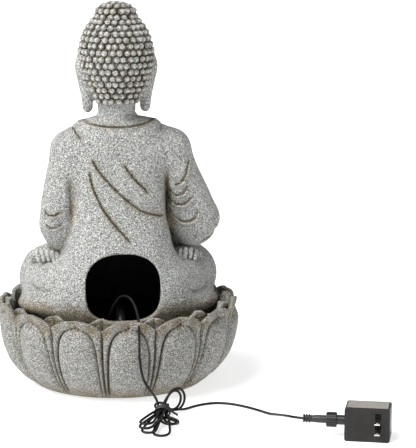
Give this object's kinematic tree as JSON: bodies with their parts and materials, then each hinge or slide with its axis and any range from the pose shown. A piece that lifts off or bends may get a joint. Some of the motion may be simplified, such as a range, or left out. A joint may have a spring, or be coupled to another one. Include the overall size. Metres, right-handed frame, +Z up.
{
  "type": "tabletop water fountain",
  "caption": "Tabletop water fountain: seated robed figure in a lotus-petal bowl, submersible pump inside, rear access port, corded plug-in adapter.",
  "frame": {"origin": "centre of the bowl on the surface it stands on, under the base pad", "axes": "+Z up, -Y the figure's front, +Y its back with the access port, -X towards the adapter"},
  "size_m": [0.4541, 0.5049, 0.4988],
  "materials": {
    "stone": "fine speckled grey cast stone, matt",
    "felt": "thin black foam pad",
    "pump_black": "moulded black plastic",
    "hose": "soft black hose",
    "black_rubber": "soft black rubber",
    "lamination": "stacked steel sheet",
    "copper": "lacquered copper wire",
    "potting": "cast black resin",
    "ceramic_shaft": "ground white ceramic",
    "magnet": "dark grey ferrite",
    "impeller_white": "natural moulded plastic",
    "cord_black": "satin black sheath",
    "tie_black": "black coated wire tie",
    "connector_black": "fine textured black plastic",
    "plated_steel": "nickel plated",
    "red_seal": "silicone ring",
    "contact_brass": "bright brass",
    "adapter_black": "fine textured black plastic",
    "plated_blades": "nickel plated brass",
    "bobbin_nylon": "natural nylon"
  },
  "bodies": {
    "stand": {"base_pad": "felt", "lotus_bowl": "stone", "seated_figure": "stone", "spill_bowl": "stone", "spill_nozzle": "pump_black", "riser_hose": "hose", "suction_feet": "black_rubber", "pump_housing": "pump_black", "stator_core": "lamination", "stator_coil": "copper", "potting_plug": "potting", "volute": "pump_black", "volute_seal": "black_rubber", "rotor_shaft": "ceramic_shaft", "rear_bush": "black_rubber", "lead_gland": "black_rubber", "pump_lead": "cord_black", "cord_hank": "cord_black", "twist_tie": "tie_black", "plug_lead": "cord_black", "plug_boot": "connector_black", "plug_body": "connector_black", "plug_barrel": "plated_steel", "plug_seal": "red_seal", "socket_stub": "connector_black", "socket_pin": "contact_brass", "adapter_front": "adapter_black", "adapter_rear": "adapter_black", "adapter_blades": "plated_blades", "blade_carrier": "adapter_black", "transformer_core": "lamination", "transformer_bobbin": "bobbin_nylon", "transformer_coil": "copper", "adapter_screws": "plated_steel"},
    "rotor": {"rotor_magnet": "magnet", "impeller": "impeller_white"},
    "cover": {"intake_cover": "pump_black", "front_bush": "black_rubber"},
    "slider": {"flow_slider": "pump_black"},
    "nut": {"collar_nut": "connector_black"}
  },
  "joints": [
    {"name": "rotor_spin", "type": "hinge", "parent": "stand", "child": "rotor", "pos_m": [0.01, 0.03, 0.043], "axis": [0, 1, 0], "continuous": true},
    {"name": "cover_pull", "type": "slide", "parent": "stand", "child": "cover", "axis": [0, 1, 0], "range_m": [0, 0.009]},
    {"name": "flow_slide", "type": "slide", "parent": "cover", "child": "slider", "axis": [1, 0, 0], "range_m": [0, 0.008]},
    {"name": "collar_turn", "type": "hinge", "parent": "stand", "child": "nut", "pos_m": [-0.22867, 0.30107, 0.021], "axis": [0.9563, -0.2924, 0], "continuous": true}
  ]
}
